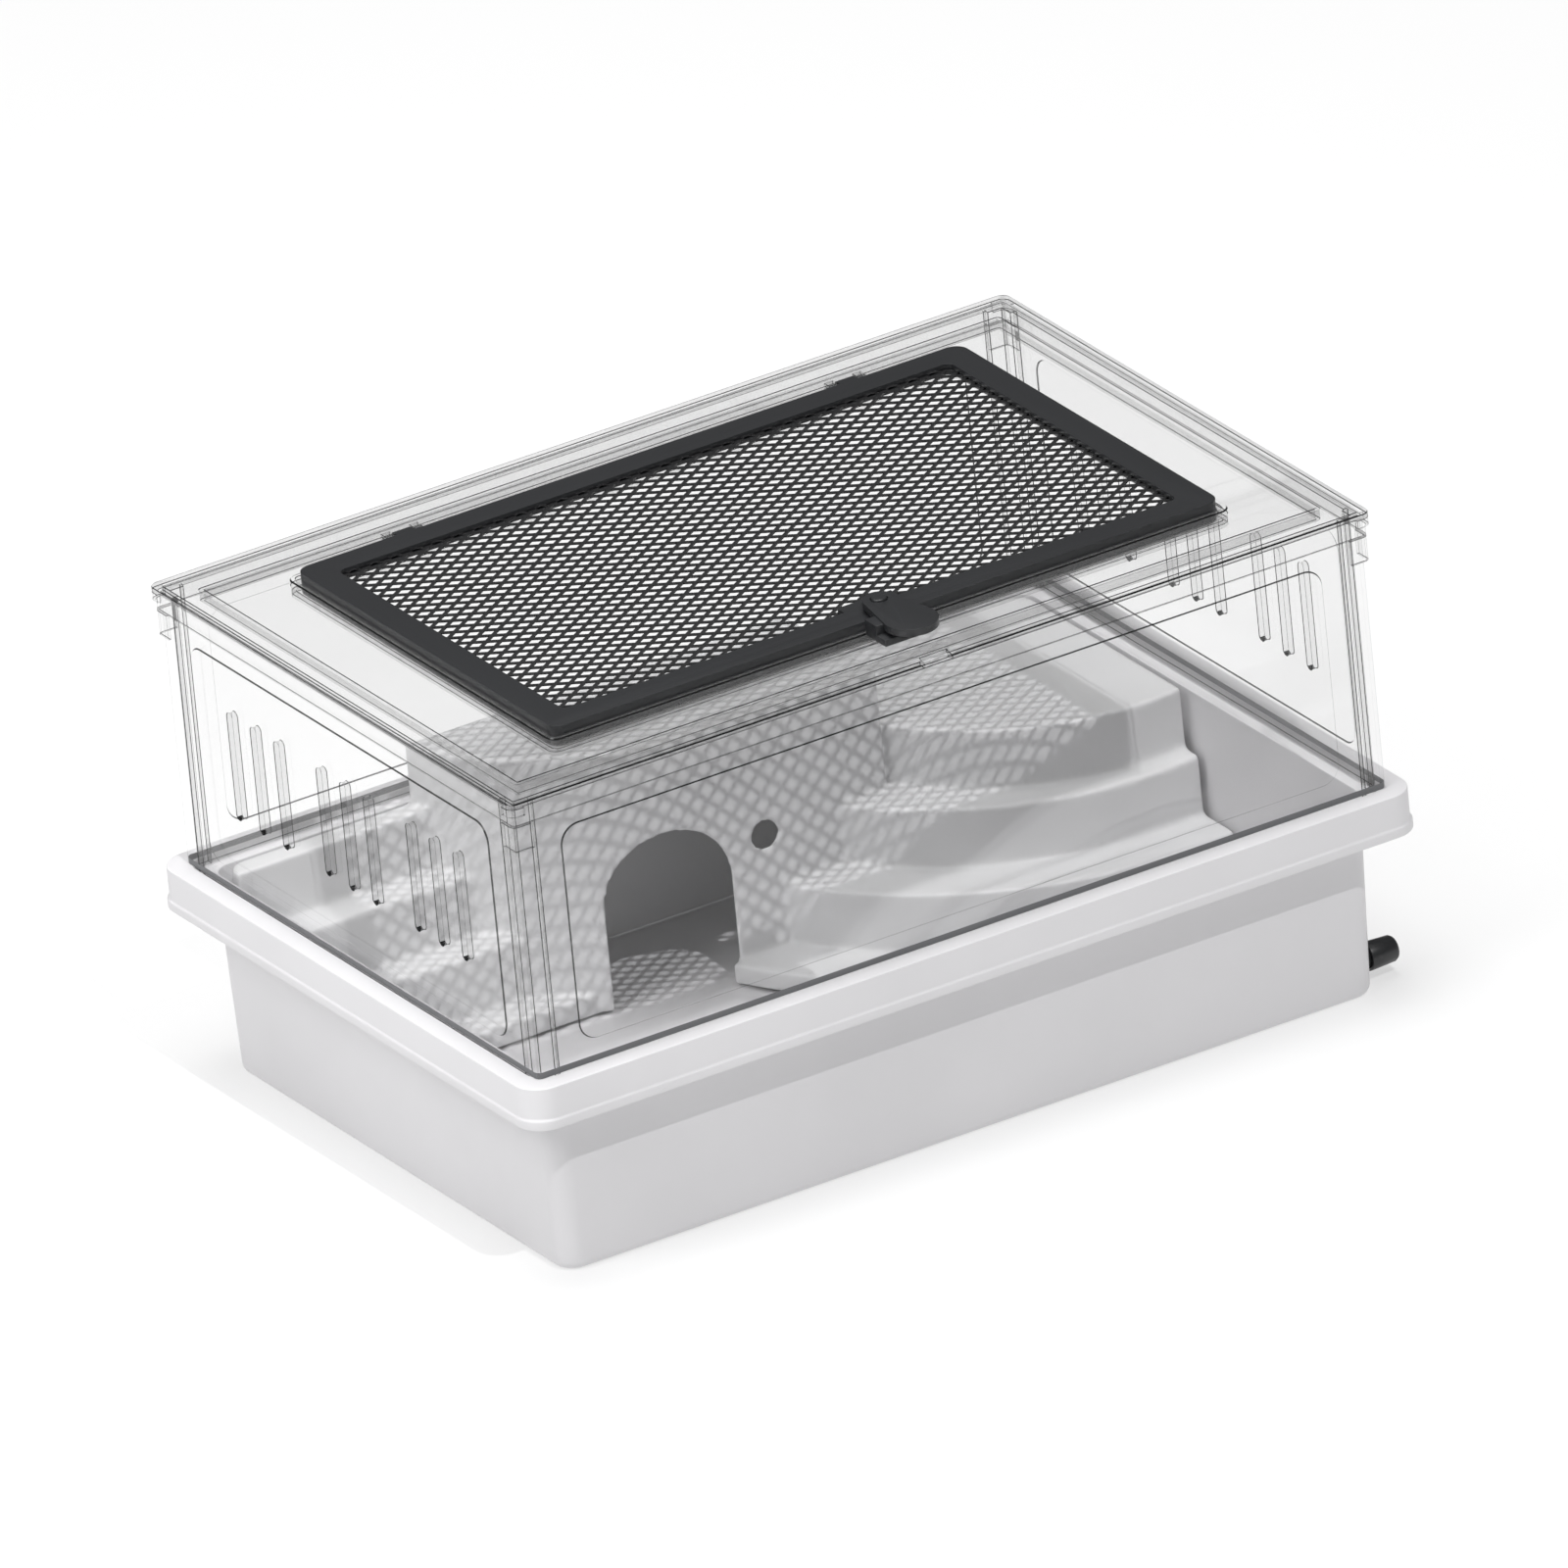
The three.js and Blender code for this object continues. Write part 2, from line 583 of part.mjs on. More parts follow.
function latchScrewSolid() {
  const seat = latchHub.top + latch.thickness - latchScrew.headHeight / 2 + GAP;
  const profile = [
    [0, latchScrew.bottom], [latchScrew.shank, latchScrew.bottom], [latchScrew.shank, seat],
    [latchScrew.headRadius, seat], [latchScrew.headRadius - latchScrew.edge, seat + latchScrew.headHeight],
    [0, seat + latchScrew.headHeight],
  ];
  const points = profile.map(([x, y]) => new THREE.Vector2(x, y));
  return toSolid(new THREE.LatheGeometry(points, ROUND_STEPS).rotateX(Math.PI / 2));
}

// ---------------------------------------------------------------------------------------------------
// Assembly
// ---------------------------------------------------------------------------------------------------

const cage = new THREE.Group();

function place(name, solid, material, parent = cage) {
  const piece = new THREE.Mesh(toGeometry(solid), material);
  piece.name = name;
  parent.add(piece);
  return piece;
}

for (const [name, piece] of Object.entries(tubPieces())) place(`base_${name}`, piece, whitePlastic);
place('base_rim', rimSolid(), whitePlastic);
place('habitat_hide', hideSolid(), greyPlastic);
place('habitat_left_stairs', flightSolid(leftTread), greyPlastic);
place('habitat_right_stairs', flightSolid(rightTread), greyPlastic);

const { outlet, seal, nut, cap } = drainPieces();
place('drain_outlet', outlet, blackPlastic);
place('drain_seal', seal, blackRubber);
place('drain_nut', nut, blackPlastic);
place('drain_cap', cap, blackPlastic);

const sides = [
  { name: 'front', span: wall.length, out: wall.width / 2, turn: 0, slotted: false },
  { name: 'right', span: wall.width, out: wall.length / 2, turn: Math.PI / 2, slotted: true },
  { name: 'back', span: wall.length, out: wall.width / 2, turn: Math.PI, slotted: false },
  { name: 'left', span: wall.width, out: wall.length / 2, turn: -Math.PI / 2, slotted: true },
];
for (const { name, span, out, turn, slotted } of sides) {
  const panel = place(`${name}_wall`, wallPanel(span, slotted), clearPlastic);
  panel.rotation.z = turn;
  panel.position.set(out * Math.sin(turn), -out * Math.cos(turn), 0);
}

const postShape = cornerShape(post.leg, post.thickness, post.radius);
const clipShape = cornerShape(clip.leg, clip.thickness, clip.radius);
for (const { name, x, y, turn } of corners) {
  const stand = place(`corner_post_${name}`, slab(postShape, wall.bottom, wall.top), clearPlastic);
  stand.rotation.z = turn;
  stand.position.set(x * wall.length / 2, y * wall.width / 2, 0);
  const clasp = place(`corner_clip_${name}`, slab(clipShape, clip.bottom, skirt.bottom - GAP), clearPlastic);
  clasp.rotation.z = turn;
  clasp.position.set(x * (lid.length / 2 - skirt.inset), y * (lid.width / 2 - skirt.inset), 0);
}

place('lid_panel', lidSolid(), clearPlastic);
place('lid_skirt', skirtSolid(), clearPlastic);
place('door_seat', seatSolid(), clearPlastic);
for (const [side, x] of Object.entries(hingeMiddles)) {
  place(`hinge_lug_${side}_a`, lugSolid(x - lugOffset), clearPlastic);
  place(`hinge_lug_${side}_b`, lugSolid(x + lugOffset), clearPlastic);
  place(`hinge_pin_${side}`, hingeRod(x, hinge.pin, 2 * lugOffset + lug.width - 1), steel);
}

place('door_frame', doorFrameSolid(), blackPlastic);
place('door_mesh', meshSolid(), blackMesh);
place('mesh_retainer', retainerSolid(), blackPlastic);

const latchGroup = new THREE.Group();
latchGroup.position.set(0, latch.y, 0);
cage.add(latchGroup);
place('latch_lever', leverSolid(), blackPlastic, latchGroup);
place('latch_screw', latchScrewSolid(), blackPlastic, latchGroup);

export default cage;
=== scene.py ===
import math

import bmesh
import bpy
from mathutils import Matrix, Vector


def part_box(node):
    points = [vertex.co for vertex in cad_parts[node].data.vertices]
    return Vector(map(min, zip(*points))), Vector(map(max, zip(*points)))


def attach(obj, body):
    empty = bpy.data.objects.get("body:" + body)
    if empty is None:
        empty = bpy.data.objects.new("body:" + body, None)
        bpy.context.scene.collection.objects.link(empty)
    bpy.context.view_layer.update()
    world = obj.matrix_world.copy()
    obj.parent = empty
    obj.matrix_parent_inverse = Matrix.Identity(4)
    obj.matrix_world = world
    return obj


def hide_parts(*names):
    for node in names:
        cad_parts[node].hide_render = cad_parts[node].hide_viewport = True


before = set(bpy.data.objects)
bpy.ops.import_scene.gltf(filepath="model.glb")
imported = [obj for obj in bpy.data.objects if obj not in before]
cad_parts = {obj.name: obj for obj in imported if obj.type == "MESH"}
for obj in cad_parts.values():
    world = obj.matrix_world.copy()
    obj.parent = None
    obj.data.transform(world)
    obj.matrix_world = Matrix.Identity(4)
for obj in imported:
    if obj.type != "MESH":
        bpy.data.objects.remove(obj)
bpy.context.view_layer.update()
bpy.ops.object.select_all(action="DESELECT")

MM = 0.001


# --- Studio -----------------------------------------------------------------------------------------
# A pale table top, a broad softbox overhead, a second one on the left and one small hard lamp high in
# front. The camera stands front left and above, far off with a long lens.

def linear(hex_colour):
    """A linear RGBA colour from an sRGB hex value."""
    parts = [(hex_colour >> shift & 255) / 255 for shift in (16, 8, 0)]
    return (*(p / 12.92 if p <= 0.04045 else ((p + 0.055) / 1.055) ** 2.4 for p in parts), 1.0)


def add_node(tree, kind, inputs=None, **settings):
    """Adds a node with its settings, and fills or links its inputs."""
    made = tree.nodes.new(kind)
    for name, value in settings.items():
        setattr(made, name, value)
    for name, value in (inputs or {}).items():
        if isinstance(value, bpy.types.NodeSocket):
            tree.links.new(value, made.inputs[name])
        else:
            made.inputs[name].default_value = value
    return made


CAMERA_RIGHT = Vector((0.84801, -0.52241, -0.08926))
CAMERA_UP = Vector((0.29141, 0.31895, 0.90186))
CAMERA_BACK = Vector((-0.44267, -0.79080, 0.42271))
CAMERA_DISTANCE = 35.6
AIM_RIGHT, AIM_UP = -0.01301, 0.14212
LENS, SENSOR = 1421.0, 36.0

camera_data = bpy.data.cameras.new("camera")
camera_data.lens, camera_data.sensor_width = LENS, SENSOR
camera_data.clip_start, camera_data.clip_end = 1.0, 100.0
camera = bpy.data.objects.new("camera", camera_data)
bpy.context.scene.collection.objects.link(camera)
turn = Matrix((CAMERA_RIGHT, CAMERA_UP, CAMERA_BACK)).transposed()
place = AIM_RIGHT * CAMERA_RIGHT + AIM_UP * CAMERA_UP + CAMERA_DISTANCE * CAMERA_BACK
camera.matrix_world = Matrix.Translation(place) @ turn.to_4x4()
bpy.context.scene.camera = camera
bpy.context.scene.view_settings.view_transform = "Standard"


def softbox(name, place, aim, size, power):
    data = bpy.data.lights.new(name, "AREA")
    data.shape, data.size, data.energy = "SQUARE", size, power
    lamp = bpy.data.objects.new(name, data)
    lamp.location = place
    lamp.rotation_euler = (Vector(aim) - Vector(place)).to_track_quat("-Z", "Y").to_euler()
    bpy.context.scene.collection.objects.link(lamp)


softbox("overhead_softbox", (-0.2, 0.2, 4.0), (0, 0, 0.1), size=2.6, power=130)
softbox("left_softbox", (-2.0, -0.4, 2.0), (0, 0, 0.15), size=1.4, power=36)

# The small lamp throws the door mesh's lattice shadow on the hide, so it is narrow and fairly sharp.
KEY_STRENGTH, KEY_ANGLE, KEY_DIRECTION = 1.2, 0.008, (0.03, 0.56, -0.83)
key = bpy.data.lights.new("front_lamp", "SUN")
key.energy, key.angle = KEY_STRENGTH, KEY_ANGLE
key_lamp = bpy.data.objects.new("front_lamp", key)
key_lamp.rotation_euler = Vector(KEY_DIRECTION).to_track_quat("-Z", "Y").to_euler()
bpy.context.scene.collection.objects.link(key_lamp)

WALL_GLOW = 0.15
world = bpy.data.worlds.new("studio_walls")
bpy.context.scene.world = world
world.use_nodes = True
world.node_tree.nodes["Background"].inputs["Color"].default_value = (1, 1, 1, 1)
world.node_tree.nodes["Background"].inputs["Strength"].default_value = WALL_GLOW

# Matt white paper, lit a little from behind so that it stays white under the cage.
FLOOR_SIZE, PAPER, PAPER_ROUGHNESS, PAPER_GLOW = 60.0, 0xA0A0A0, 0.9, 0.56
bpy.ops.mesh.primitive_plane_add(size=FLOOR_SIZE)
floor = bpy.context.object
floor.name = "table_top"
paper = bpy.data.materials.new("white_paper_sweep")
paper.use_nodes = True
paper_shader = paper.node_tree.nodes["Principled BSDF"]
paper_shader.inputs["Base Color"].default_value = linear(PAPER)
paper_shader.inputs["Roughness"].default_value = PAPER_ROUGHNESS
paper_shader.inputs["Emission Color"].default_value = (1, 1, 1, 1)
paper_shader.inputs["Emission Strength"].default_value = PAPER_GLOW
floor.data.materials.append(paper)


# --- Tub --------------------------------------------------------------------------------------------
# The base is one deep tub of white polypropylene, injection moulded, with flared walls. Round its top
# run a ledge that the clear walls stand in, a flat band, and a turned-down lip with a bead at its foot.

NEAR = 1e-5


def deselect():
    bpy.ops.object.select_all(action="DESELECT")


def take_up(obj):
    """Makes obj the one selected, active object."""
    deselect()
    bpy.context.view_layer.objects.active = obj
    obj.select_set(True)


def edit(obj, kind="EDGE"):
    """Opens obj in edit mode with nothing selected."""
    take_up(obj)
    bpy.ops.object.mode_set(mode="EDIT")
    bpy.ops.mesh.select_mode(type=kind)
    bpy.ops.mesh.select_all(action="DESELECT")


def pick(obj, test, kind="edges"):
    """In edit mode, selects the edges or faces that pass a test."""
    mesh = bmesh.from_edit_mesh(obj.data)
    for part in [part for part in getattr(mesh, kind) if test(part)]:
        part.select_set(True)
    mesh.select_flush_mode()
    bmesh.update_edit_mesh(obj.data)


def done():
    bpy.ops.object.mode_set(mode="OBJECT")


def height_of(part):
    return sum(v.co.z for v in part.verts) / len(part.verts)


def upright(edge):
    a, b = (v.co for v in edge.verts)
    return abs(a.x - b.x) < NEAR and abs(a.y - b.y) < NEAR


def block(name, low, high):
    """A cube primitive between two corners given in millimetres, placed in its mesh."""
    deselect()
    centre = [(a + b) / 2 * MM for a, b in zip(low, high)]
    size = [(b - a) * MM for a, b in zip(low, high)]
    bpy.ops.mesh.primitive_cube_add(size=1, location=centre, scale=size)
    made = bpy.context.object
    made.name = name
    bpy.ops.object.transform_apply(location=True, rotation=True, scale=True)
    return made


def rounded_slab(name, half_x, half_y, bottom, top, radius, segments=8):
    """A flat block whose upright edges are rounded."""
    made = block(name, (-half_x, -half_y, bottom), (half_x, half_y, top))
    edit(made)
    pick(made, upright)
    bpy.ops.mesh.bevel(offset=radius * MM, segments=segments, affect="EDGES")
    done()
    return made


def apply_modifier(obj, kind, **settings):
    take_up(obj)
    modifier = obj.modifiers.new(kind.lower(), kind)
    for name, value in settings.items():
        setattr(modifier, name, value)
    bpy.ops.object.modifier_apply(modifier=modifier.name)


def soften(obj, width, segments=3, angle=30):
    """Rounds the sharp edges as a mould does, and shades the piece smooth."""
    apply_modifier(
        obj, "BEVEL", width=width * MM, segments=segments, limit_method="ANGLE",
        angle_limit=math.radians(angle),
    )
    shade(obj)


def shade(obj, angle=35):
    take_up(obj)
    bpy.ops.object.shade_smooth_by_angle(angle=math.radians(angle))


def outward(obj):
    """Merges doubled points and turns every face outwards."""
    edit(obj, "FACE")
    bpy.ops.mesh.select_all(action="SELECT")
    bpy.ops.mesh.remove_doubles(threshold=NEAR)
    bpy.ops.mesh.normals_make_consistent(inside=False)
    done()


def fit(obj, body, slot_name, nodes, *materials):
    """Gives a finished piece its materials, ties it to its body and hides the solids it stands for."""
    obj.data.materials.clear()
    for material in materials:
        obj.data.materials.append(material)
    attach(obj, body)
    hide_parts(*nodes)


TONE_PER_METRE, TONE_RANGE, SHINE_SPREAD = 9.0, (0.35, 0.65), (-0.05, 0.07)


def plastic(name, colour, roughness, grain, depth, mottle=0.04, ior=1.49):
    """Moulded plastic: a fine spark-eroded grain in the surface and a faint unevenness of tone."""
    made = bpy.data.materials.new(name)
    made.use_nodes = True
    tree = made.node_tree
    shader = tree.nodes["Principled BSDF"]
    where = add_node(tree, "ShaderNodeTexCoord").outputs["Object"]
    fine = add_node(tree, "ShaderNodeTexNoise", {
        "Vector": where, "Scale": 1 / (grain * MM), "Detail": 2.0,
    })
    broad = add_node(tree, "ShaderNodeTexNoise", {
        "Vector": where, "Scale": TONE_PER_METRE, "Detail": 3.0,
    })
    dull = [c * (1 - mottle) for c in linear(colour)[:3]] + [1.0]
    tone = add_node(tree, "ShaderNodeValToRGB", {"Fac": broad.outputs["Fac"]})
    for stop, position, shade_of in zip(tone.color_ramp.elements, TONE_RANGE, (dull, linear(colour))):
        stop.position, stop.color = position, shade_of
    shine = add_node(tree, "ShaderNodeMapRange", {
        "Value": fine.outputs["Fac"],
        "To Min": roughness + SHINE_SPREAD[0],
        "To Max": roughness + SHINE_SPREAD[1],
    })
    bump = add_node(tree, "ShaderNodeBump", {"Height": fine.outputs["Fac"], "Distance": depth * MM})
    tree.links.new(tone.outputs["Color"], shader.inputs["Base Color"])
    tree.links.new(shine.outputs["Result"], shader.inputs["Roughness"])
    tree.links.new(bump.outputs["Normal"], shader.inputs["Normal"])
    shader.inputs["IOR"].default_value = ior
    return made


# Polypropylene, moulded against a satin steel tool: a soft sheen over a very fine grain.
# The real grain is about 0.3 mm; it is drawn at 0.9 mm so that it shows.
white_polypropylene = plastic("white_polypropylene_moulded", 0xDDDCDE, 0.42, 0.9, 0.03)

TUB_FOOT, TUB_TOP = (275, 184), (278.5, 187.5)
TUB_CORNER, TUB_FOOT_ROUND, ARRIS = 14, 6, 1.1
LEDGE_UNDER, BAND_UNDER, LIP_BOTTOM, BEAD_TOP = 124.5, 129.0, 105.5, 110.0
STEP_OUT, LIP_IN, BEAD_OUT = 10.5, 2.5, 1.0
RIM_HALF = (300, 208)
SKIN = 2.5

tub = block("tub", (-TUB_FOOT[0], -TUB_FOOT[1], 0), (*TUB_FOOT, LEDGE_UNDER))
edit(tub, "FACE")
pick(tub, lambda f: f.normal.z > 0.5, "faces")
bpy.ops.transform.resize(
    value=(TUB_TOP[0] / TUB_FOOT[0], TUB_TOP[1] / TUB_FOOT[1], 1), center_override=(0, 0, 0),
)
bpy.ops.mesh.select_mode(type="EDGE")
bpy.ops.mesh.select_all(action="DESELECT")
pick(tub, lambda e: abs(e.verts[0].co.z - e.verts[1].co.z) > 0.05)
bpy.ops.mesh.bevel(offset=TUB_CORNER * MM, segments=8, affect="EDGES")
bpy.ops.mesh.select_all(action="DESELECT")
pick(tub, lambda e: height_of(e) < NEAR)
bpy.ops.mesh.bevel(offset=TUB_FOOT_ROUND * MM, segments=5, affect="EDGES")
bpy.ops.mesh.select_all(action="DESELECT")
bpy.ops.mesh.select_mode(type="FACE")
pick(tub, lambda f: f.normal.z > 0.9 and height_of(f) > 0.1, "faces")
bpy.ops.mesh.delete(type="ONLY_FACE")
bpy.ops.mesh.select_mode(type="EDGE")
bpy.ops.mesh.select_all(action="DESELECT")
pick(tub, lambda e: e.is_boundary)
# From the mouth outwards: out along the ledge, up the step, out under the band, down behind the lip.
mouth = TUB_TOP
for inset, z in (
    (STEP_OUT, LEDGE_UNDER),
    (STEP_OUT, BAND_UNDER),
    (LIP_IN, BAND_UNDER),
    (LIP_IN, BEAD_TOP + BEAD_OUT),
    (LIP_IN - BEAD_OUT, BEAD_TOP),
    (LIP_IN - BEAD_OUT, LIP_BOTTOM),
):
    half = (RIM_HALF[0] - inset, RIM_HALF[1] - inset)
    scale = (half[0] / mouth[0], half[1] / mouth[1], 1)
    bpy.ops.mesh.extrude_region_move()
    bpy.ops.transform.resize(value=scale, center_override=(0, 0, 0))
    level = next(height_of(e) for e in bmesh.from_edit_mesh(tub.data).edges if e.select)
    bpy.ops.transform.translate(value=(0, 0, z * MM - level))
    mouth = half
done()
outward(tub)
# The sheet is the tub's outside, so the wall grows inwards, away from the table.
floor_face = min(tub.data.polygons, key=lambda face: face.center.z)
grow = 1 if floor_face.normal.z > 0 else -1
apply_modifier(tub, "SOLIDIFY", thickness=SKIN * MM, offset=grow, use_even_offset=True)
soften(tub, ARRIS)
TUB_NODES = (
    "base_floor", "base_front_side", "base_right_side", "base_back_side", "base_left_side",
    "base_drain_panel", "base_rim",
)
fit(tub, "base", "white_polypropylene", TUB_NODES, white_polypropylene)


# --- Hide and stairs --------------------------------------------------------------------------------
# One loose moulding of light grey polypropylene stands on the tub's floor: a round-fronted hide with an
# arched doorway, straight steps up its left side and rounded steps down its right. All edges are soft.

MERGE, FLAT_ANGLE = 2e-6, 0.8


def recast(name, *nodes, joined_faces=True):
    """A copy of solid nodes' shapes as one clean mesh, ready to be finished."""
    deselect()
    for node in nodes:
        copy = bpy.data.objects.new(name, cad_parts[node].data.copy())
        bpy.context.scene.collection.objects.link(copy)
        copy.select_set(True)
        bpy.context.view_layer.objects.active = copy
    made = bpy.context.view_layer.objects.active
    if len(nodes) > 1:
        bpy.ops.object.join()
    made.name = name
    edit(made, "VERT")
    bpy.ops.mesh.select_all(action="SELECT")
    bpy.ops.mesh.remove_doubles(threshold=MERGE)
    if joined_faces:
        bpy.ops.mesh.dissolve_limited(angle_limit=math.radians(FLAT_ANGLE))
    bpy.ops.mesh.select_all(action="SELECT")
    bpy.ops.mesh.normals_make_consistent(inside=False)
    done()
    return made


# Light grey polypropylene from a polished tool: smoother than the tub, with a faint unevenness of tone.
# The real grain is under 0.3 mm; it is drawn at 1.2 mm so that it shows.
grey_polypropylene = plastic("light_grey_polypropylene_moulded", 0xDCDCDD, 0.36, 1.2, 0.02, mottle=0.06)

INSERT_NODES = ("habitat_hide", "habitat_left_stairs", "habitat_right_stairs")
INSERT_VOXEL, INSERT_PASSES, INSERT_FACES, INSERT_SHADE = 1.6, 14, 185000, 60
habitat = recast("hide_and_stairs", *INSERT_NODES)
apply_modifier(habitat, "REMESH", mode="VOXEL", voxel_size=INSERT_VOXEL * MM)
apply_modifier(habitat, "SMOOTH", factor=0.5, iterations=INSERT_PASSES)
triangles = sum(len(f.vertices) - 2 for f in habitat.data.polygons)
if triangles > INSERT_FACES:
    apply_modifier(habitat, "DECIMATE", ratio=INSERT_FACES / triangles)
shade(habitat, INSERT_SHADE)
fit(habitat, "insert", "light_grey_polypropylene", INSERT_NODES, grey_polypropylene)


# --- Clear walls ------------------------------------------------------------------------------------
# Four clear polystyrene walls, injection moulded, each with a raised field. The two ends have three
# groups of three tall slots. Corner posts join them, and clips grip the lid over the corners.

FLOW, FLOW_DEPTH, POLISH, STEEPNESS, GLANCE = 60, 0.1, 0.04, 5.0, 0.9


def clear_plastic(name, tint, haze, gloss, dullness):
    """Clear polystyrene: light goes straight through, with a mirror gloss and some haze in the body.

    The gloss grows towards a glancing view, and slow flow marks some 60 mm long ripple it.
    """
    made = bpy.data.materials.new(name)
    made.use_nodes = True
    tree = made.node_tree
    tree.nodes.remove(tree.nodes["Principled BSDF"])
    where = add_node(tree, "ShaderNodeTexCoord").outputs["Object"]
    flow = add_node(tree, "ShaderNodeTexNoise", {
        "Vector": where, "Scale": 1 / (FLOW * MM), "Detail": 1.0,
    })
    bump = add_node(tree, "ShaderNodeBump", {
        "Height": flow.outputs["Fac"], "Distance": FLOW_DEPTH * MM,
    })
    through = add_node(tree, "ShaderNodeBsdfTransparent", {"Color": linear(tint)})
    milk = add_node(tree, "ShaderNodeBsdfDiffuse", {"Color": linear(dullness)})
    shine = add_node(tree, "ShaderNodeBsdfGlossy", {
        "Roughness": POLISH, "Color": (1, 1, 1, 1), "Normal": bump.outputs["Normal"],
    })
    slant = add_node(tree, "ShaderNodeLayerWeight", {"Blend": 0.5})
    steep = add_node(
        tree, "ShaderNodeMath", {0: slant.outputs["Facing"], 1: STEEPNESS}, operation="POWER",
    )
    mirror = add_node(
        tree, "ShaderNodeMath", {0: steep.outputs[0], 1: GLANCE, 2: gloss}, operation="MULTIPLY_ADD",
    )
    body = add_node(tree, "ShaderNodeMixShader", {
        "Fac": haze, 1: through.outputs[0], 2: milk.outputs[0],
    })
    whole = add_node(tree, "ShaderNodeMixShader", {
        "Fac": mirror.outputs[0], 1: body.outputs[0], 2: shine.outputs[0],
    })
    tree.links.new(whole.outputs[0], tree.nodes["Material Output"].inputs["Surface"])
    return made


# Polystyrene is water-clear face on. Looked at along its edge it gathers light and dark, and that shade
# is painted here: the narrow faces (slot walls and ends) have a greyer material, and the rounded
# arrises a nearly black one, both painted shade.
clear_polystyrene = clear_plastic("clear_polystyrene_polished", 0xFDFDFD, 0.01, 0.02, 0xF2F2F2)
clear_edge_painted_shade = clear_plastic("clear_polystyrene_edge_painted_shade", 0xEFEFEF, 0.04, 0.05, 0xE8E8E8)
clear_arris_painted_shade = clear_plastic("clear_polystyrene_arris_painted_shade", 0x2C2C2D, 0.1, 0.05, 0x404041)
BROAD = 0.9
# The slots' rounded lower ends take the nearly black arris material: painted shade.
SLOT_FOOT = (182, 192)  # the rounded lower ends of the slots, which look nearly black
SLOT_FOOT_SLOPE = (0.4, 0.999)


def slot_foot(face):
    low, high = SLOT_FOOT
    flat, level = SLOT_FOOT_SLOPE
    return flat < face.normal.z < level and low < height_of(face) / MM < high


def mark_edges(obj, axes):
    """Gives the second material, a painted shade, to faces off the axes, and the third, a darker
    painted shade, to the slots' feet.
    """
    edit(obj, "FACE")
    mesh = bmesh.from_edit_mesh(obj.data)
    for face in mesh.faces:
        facing = max(abs(face.normal["xyz".index(axis)]) for axis in axes)
        face.material_index = 0 if facing > BROAD else 1
        if "z" not in axes and slot_foot(face):
            face.material_index = 2
    bmesh.update_edit_mesh(obj.data)
    done()


SHARP = 25


def clear_piece(node, body, axes, arris=0.3):
    """A clear moulding with its broad faces along the axes, and a fine rounded arris all round in the
    nearly black painted-shade material.
    """
    made = recast(node + "_clear", node, joined_faces=False)
    fit(made, body, "clear_polystyrene", (node,), clear_polystyrene, clear_edge_painted_shade, clear_arris_painted_shade)
    mark_edges(made, axes)
    apply_modifier(
        made, "BEVEL", width=arris * MM, segments=1, limit_method="ANGLE",
        angle_limit=math.radians(SHARP), use_clamp_overlap=False, material=2,
    )


CORNERS = ("front_left", "front_right", "back_right", "back_left")
for side, across in (("front", "y"), ("right", "x"), ("back", "y"), ("left", "x")):
    clear_piece(side + "_wall", "enclosure", across, 0.35)
for corner in CORNERS:
    clear_piece("corner_post_" + corner, "enclosure", "xy", 0.4)
    clear_piece("corner_clip_" + corner, "lid", "xy")


# --- Foot strip -------------------------------------------------------------------------------------
# A grey strip runs round the foot of the clear walls, just above the tub's rim. Its dark grey is
# painted shade, standing for the ledge's shadow seen through the walls' foot, and its rounded upper
# edge shows as a light line.

painted_shade_strip_grey = plastic("grey_strip_painted_shade", 0x6C6D6F, 0.4, 0.8, 0.02)
STRIP_BOTTOM, STRIP_TOP, STRIP_PROUD, STRIP_CORNER, STRIP_ARRIS = 131.8, 135.6, 0.3, 4, 0.15
STRIP_GAP = 0.1
post_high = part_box("corner_post_back_right")[1]
strip_half = (post_high[0] / MM + STRIP_PROUD, post_high[1] / MM + STRIP_PROUD)
strip = rounded_slab("foot_strip", *strip_half, STRIP_BOTTOM, STRIP_TOP, STRIP_CORNER)
edit(strip, "FACE")
pick(strip, lambda f: abs(f.normal.z) > 0.9, "faces")
bpy.ops.mesh.delete(type="FACE")
done()
apply_modifier(strip, "SOLIDIFY", thickness=(STRIP_PROUD - STRIP_GAP) * MM, offset=-1)
soften(strip, STRIP_ARRIS, 2)
strip.data.materials.append(painted_shade_strip_grey)
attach(strip, "enclosure")


# --- Lid --------------------------------------------------------------------------------------------
# The lift-off lid is a clear polystyrene moulding: a flat top with a sloped border, a rib under it, a
# skirt outside the walls, a raised collar round the door, and four lugs for the hinge pins.

clear_piece("lid_panel", "lid", "z", 0.4)
clear_piece("lid_skirt", "lid", "xy")
clear_piece("door_seat", "lid", "z")
for lug in ("left_a", "left_b", "right_a", "right_b"):
    clear_piece("hinge_lug_" + lug, "lid", "x")


# --- Door and latch ---------------------------------------------------------------------------------
# The door is a black ABS frame with a sheet of expanded metal held in it by a black ring. Two barrels
# at the back turn on steel pins. A teardrop lever turns on a screw to hold the front edge down.

# ABS, moulded against a lightly etched tool: deep black with a broad satin sheen. The etched grain is
# about 0.2 mm; it is drawn at 0.7 mm so that it shows.
black_abs = plastic("black_abs_moulded", 0x222325, 0.38, 0.7, 0.03, mottle=0.1, ior=1.54)


BLACK_SHARP = 28


def black_piece(node, body, arris, segments=3):
    made = recast(node + "_black", node)
    soften(made, arris, segments, BLACK_SHARP)
    fit(made, body, "black_abs", (node,), black_abs)


black_piece("door_frame", "door", 1.2)
black_piece("mesh_retainer", "door", 0.4, 2)
black_piece("latch_screw", "door", 0.4)
black_piece("latch_lever", "latch", 1.1)

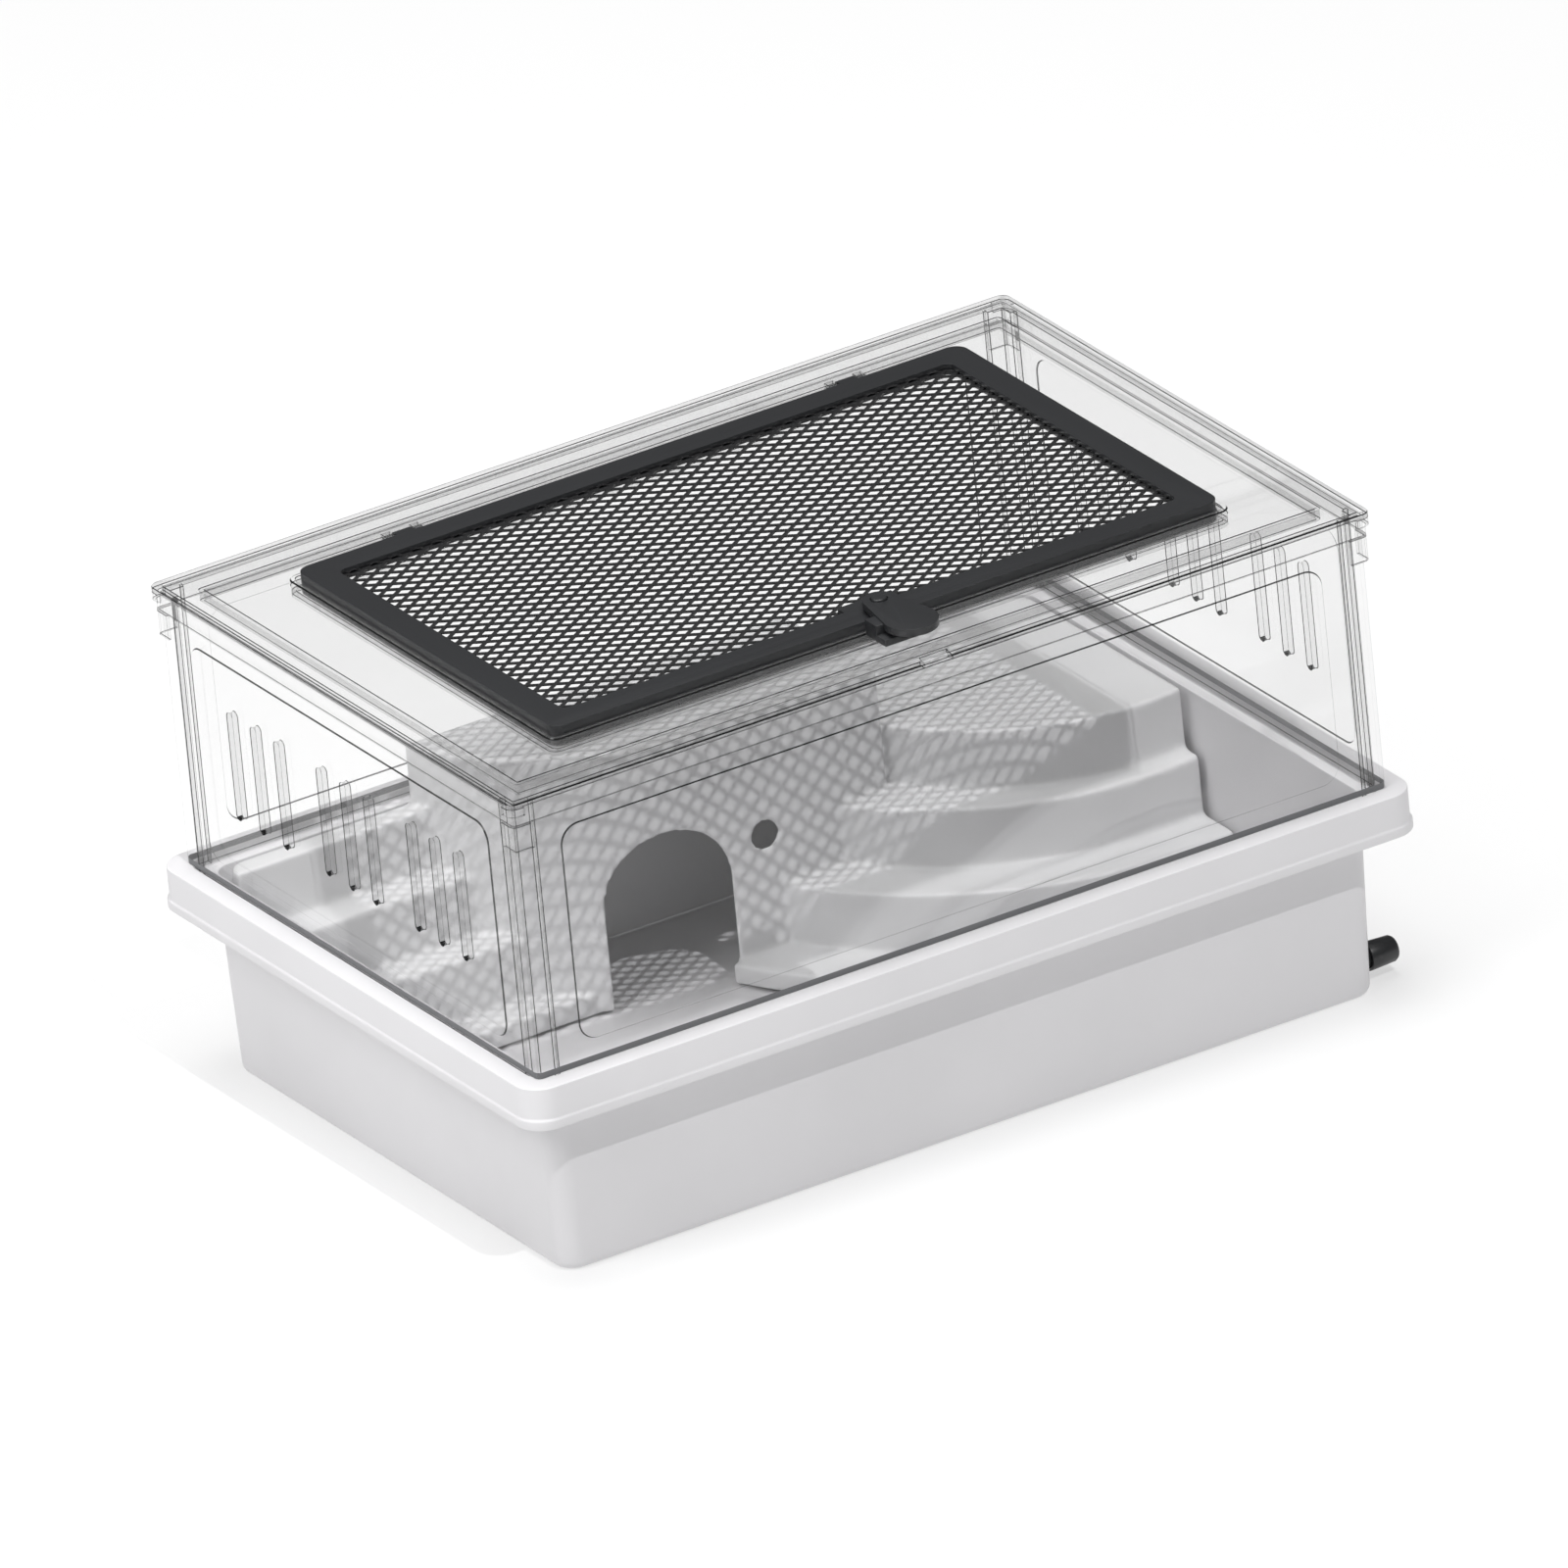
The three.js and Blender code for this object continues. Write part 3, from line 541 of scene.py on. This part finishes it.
# Mild steel sheet, slit and stretched open, then dipped in black plastic: thick, soft and satin. The
# coating's slow unevenness is about 1.5 mm across.
coated_steel = plastic("expanded_steel_black_coated", 0x1C1C1D, 0.45, 1.5, 0.05, mottle=0.15)
CELL_X, CELL_Y, STRAND = 14.0, 9.5, 1.0
cad_mesh_low, cad_mesh_high = (tuple(c / MM for c in corner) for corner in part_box("door_mesh"))
COLUMNS, ROWS = 32, 30


def half_grid(name, shift_x, shift_y):
    """One diamond opening with its strands, repeated in rows and columns."""
    deselect()
    bpy.ops.mesh.primitive_circle_add(vertices=4, radius=1, fill_type="NGON")
    cell = bpy.context.object
    cell.name = name
    edit(cell, "FACE")
    bpy.ops.mesh.select_all(action="SELECT")
    bpy.ops.transform.resize(value=(CELL_X / 2 * MM, CELL_Y / 2 * MM, 1), center_override=(0, 0, 0))
    bpy.ops.transform.translate(value=(
        (shift_x - CELL_X * (COLUMNS - 1) / 2) * MM,
        (shift_y - CELL_Y * (ROWS - 1) / 2) * MM,
        cad_mesh_high[2] * MM,
    ))
    bpy.ops.mesh.inset(thickness=STRAND * MM, depth=0)
    bpy.ops.mesh.delete(type="FACE")
    done()
    for count, offset in ((COLUMNS, (CELL_X * MM, 0, 0)), (ROWS, (0, CELL_Y * MM, 0))):
        apply_modifier(
            cell, "ARRAY", count=count, use_relative_offset=False, use_constant_offset=True,
            constant_offset_displace=offset,
        )
    return cell


expanded = half_grid("expanded_mesh", 0, 0)
between = half_grid("expanded_mesh_between", CELL_X / 2, CELL_Y / 2)
deselect()
between.select_set(True)
expanded.select_set(True)
bpy.context.view_layer.objects.active = expanded
bpy.ops.object.join()
MESH_EDGE = 3
mesh_half = (cad_mesh_high[0] - MESH_EDGE, cad_mesh_high[1] - MESH_EDGE)
edit(expanded, "VERT")
bpy.ops.mesh.select_all(action="SELECT")
bpy.ops.mesh.remove_doubles(threshold=NEAR)
for normal, half in (((1, 0, 0), mesh_half[0]), ((-1, 0, 0), mesh_half[0]),
                     ((0, 1, 0), mesh_half[1]), ((0, -1, 0), mesh_half[1])):
    bpy.ops.mesh.select_all(action="SELECT")
    place = tuple(n * half * MM for n in normal)
    bpy.ops.mesh.bisect(plane_co=place, plane_no=normal, clear_outer=True, use_fill=False)
bpy.ops.mesh.select_all(action="SELECT")
bpy.ops.mesh.normals_make_consistent(inside=False)
done()
if expanded.data.polygons[0].normal.z < 0:
    edit(expanded, "FACE")
    bpy.ops.mesh.select_all(action="SELECT")
    bpy.ops.mesh.flip_normals()
    done()
apply_modifier(expanded, "SOLIDIFY", thickness=(cad_mesh_high[2] - cad_mesh_low[2]) * MM, offset=-1)
outward(expanded)
fit(expanded, "door", "black_coated_mesh", ("door_mesh",), coated_steel)

# Drawn steel wire, plated: bright, with a slight unevenness left by the die.
bright_steel = plastic("steel_wire_drawn", 0xB9BBBD, 0.3, 0.4, 0.005, ior=1.5)
bright_steel.node_tree.nodes["Principled BSDF"].inputs["Metallic"].default_value = 1.0


def paint(node, material):
    """Gives a solid that keeps its own shape its finish."""
    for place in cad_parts[node].material_slots:
        place.material = material


paint("hinge_pin_left", bright_steel)
paint("hinge_pin_right", bright_steel)


# --- Drain ------------------------------------------------------------------------------------------
# A black outlet passes through the tub's right side and is held by a nut against a rubber seal. A
# black cap pulls off its end.

# Nitrile rubber, cut from sheet: matt and slightly dusty.
black_rubber = plastic("black_nitrile_rubber_sheet", 0x1E1E1E, 0.75, 0.8, 0.03)
black_piece("drain_outlet", "base", 0.4, 2)
black_piece("drain_nut", "base", 0.4, 2)
black_piece("drain_cap", "drain_plug", 0.5, 2)
paint("drain_seal", black_rubber)
